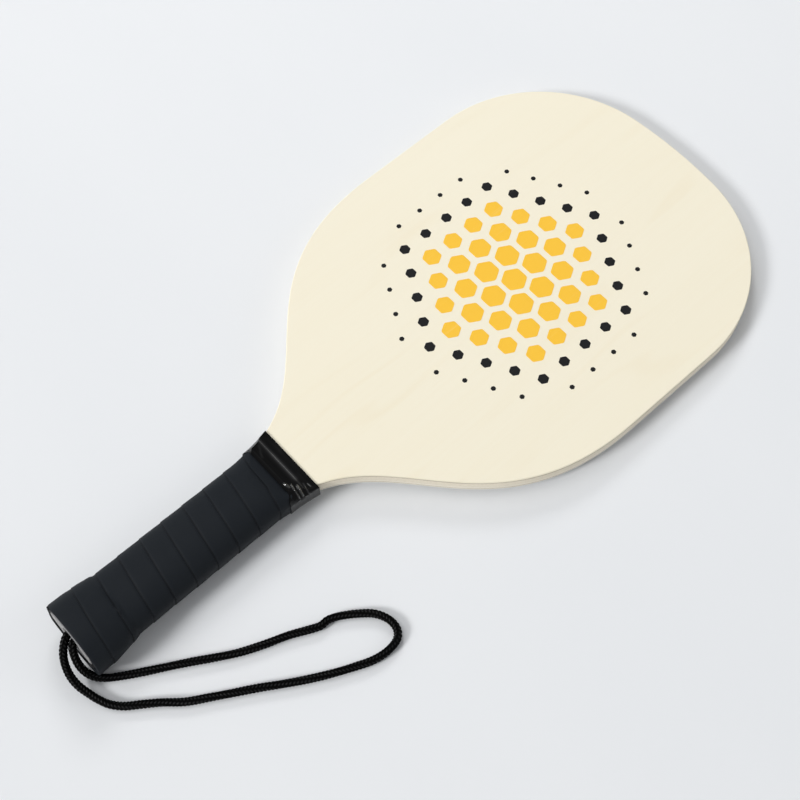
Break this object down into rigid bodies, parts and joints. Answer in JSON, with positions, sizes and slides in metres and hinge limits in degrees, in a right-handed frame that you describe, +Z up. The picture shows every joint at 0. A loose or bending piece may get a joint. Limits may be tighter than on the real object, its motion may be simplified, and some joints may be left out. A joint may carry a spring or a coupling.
{
  "type": "pickleball paddle with wrist cord",
  "caption": "Flat plywood racket paddle with a rounded blade, a handle wound with soft tape, a glossy tape collar at the neck and a braided wrist cord looped from the butt.",
  "frame": {"origin": "middle of the paddle's own box, without the free cord, at the surface it lies on", "axes": "+X from the butt to the tip, +Z up through the printed face, +Y to the side away from the cord"},
  "size_m": [0.4127, 0.1971, 0.0271],
  "materials": {
    "printed_face": "satin lacquered pale veneer",
    "pale_wood": "satin lacquered pale veneer",
    "cross_grain_wood": "sanded cross-grain ply edge",
    "pallet_wood": "greyed softwood",
    "band_tape": "matt padding tape",
    "grip_tape": "smooth matt soft grip tape",
    "gloss_tape": "glossy vinyl tape",
    "black_braid": "braided black cord",
    "brad_steel": "bright steel wire"
  },
  "bodies": {
    "paddle": {"face_veneer": "printed_face", "upper_cross_ply": "cross_grain_wood", "core_ply": "pale_wood", "lower_cross_ply": "cross_grain_wood", "back_veneer": "pale_wood", "upper_pallet": "pallet_wood", "lower_pallet": "pallet_wood", "butt_band": "band_tape", "grip_tape": "grip_tape", "collar_tape": "gloss_tape", "cord_tail_left": "black_braid", "cord_tail_right": "black_braid", "anchor_brad": "brad_steel"},
    "wrist_cord": {"wrist_cord": "black_braid"}
  },
  "joints": [
    {"name": "wrist_cord_swing", "type": "hinge", "parent": "paddle", "child": "wrist_cord", "pos_m": [-0.19941, 0, 0.01377], "axis": [0, 0, 1], "range_deg": [-45, 2]}
  ]
}
